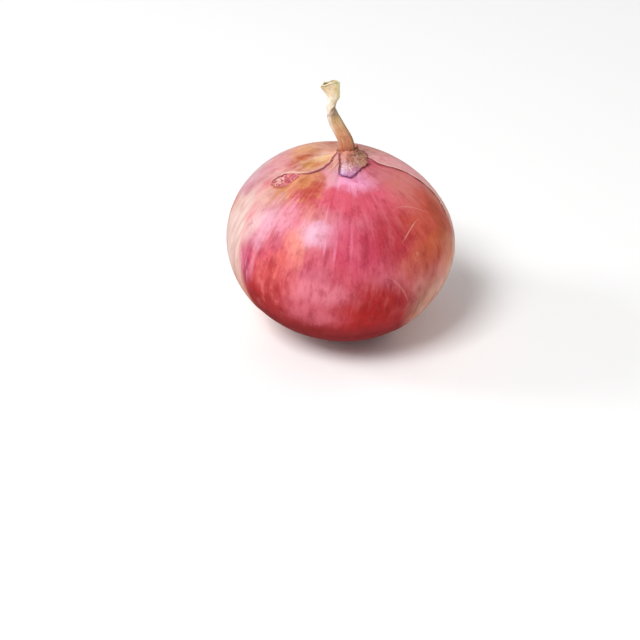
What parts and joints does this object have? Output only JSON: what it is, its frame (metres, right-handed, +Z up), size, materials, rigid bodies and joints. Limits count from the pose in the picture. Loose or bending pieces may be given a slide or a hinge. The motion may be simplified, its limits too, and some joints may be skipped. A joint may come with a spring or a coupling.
{
  "type": "pink shallot",
  "caption": "Round pink shallot bulb with torn papery skin, a twisted dried leaf at its neck and a fringe of dry roots; stands on its root plate with a slight lean.",
  "frame": {"origin": "centre of the flat underside of the root plate, on the surface that the bulb stands on", "axes": "+Z up from the surface it stands on, -Y towards the torn window in the outer skin, +X the side that the bulb leans to"},
  "size_m": [0.0504, 0.0499, 0.0578],
  "materials": {
    "bulb_skin": "smooth glossy living skin, rose pink with crimson and orange streaks that run from neck to root",
    "papery_skin": "thin dry papery skin, salmon pink to cream with fine lengthwise veins and dark torn edges",
    "dried_leaf": "dry fibrous leaf, cream at the tip to reddish tan at the neck",
    "dried_collar": "crumbly dry sheath, lilac and straw flecks with a dark purple edge",
    "dry_root": "dry wiry straw-coloured roots on a brown corky plate"
  },
  "bodies": {
    "root": {"bulb": "bulb_skin", "outer_skin": "papery_skin", "dry_leaf": "dried_leaf", "neck_collar": "dried_collar", "roots": "dry_root"}
  },
  "joints": []
}
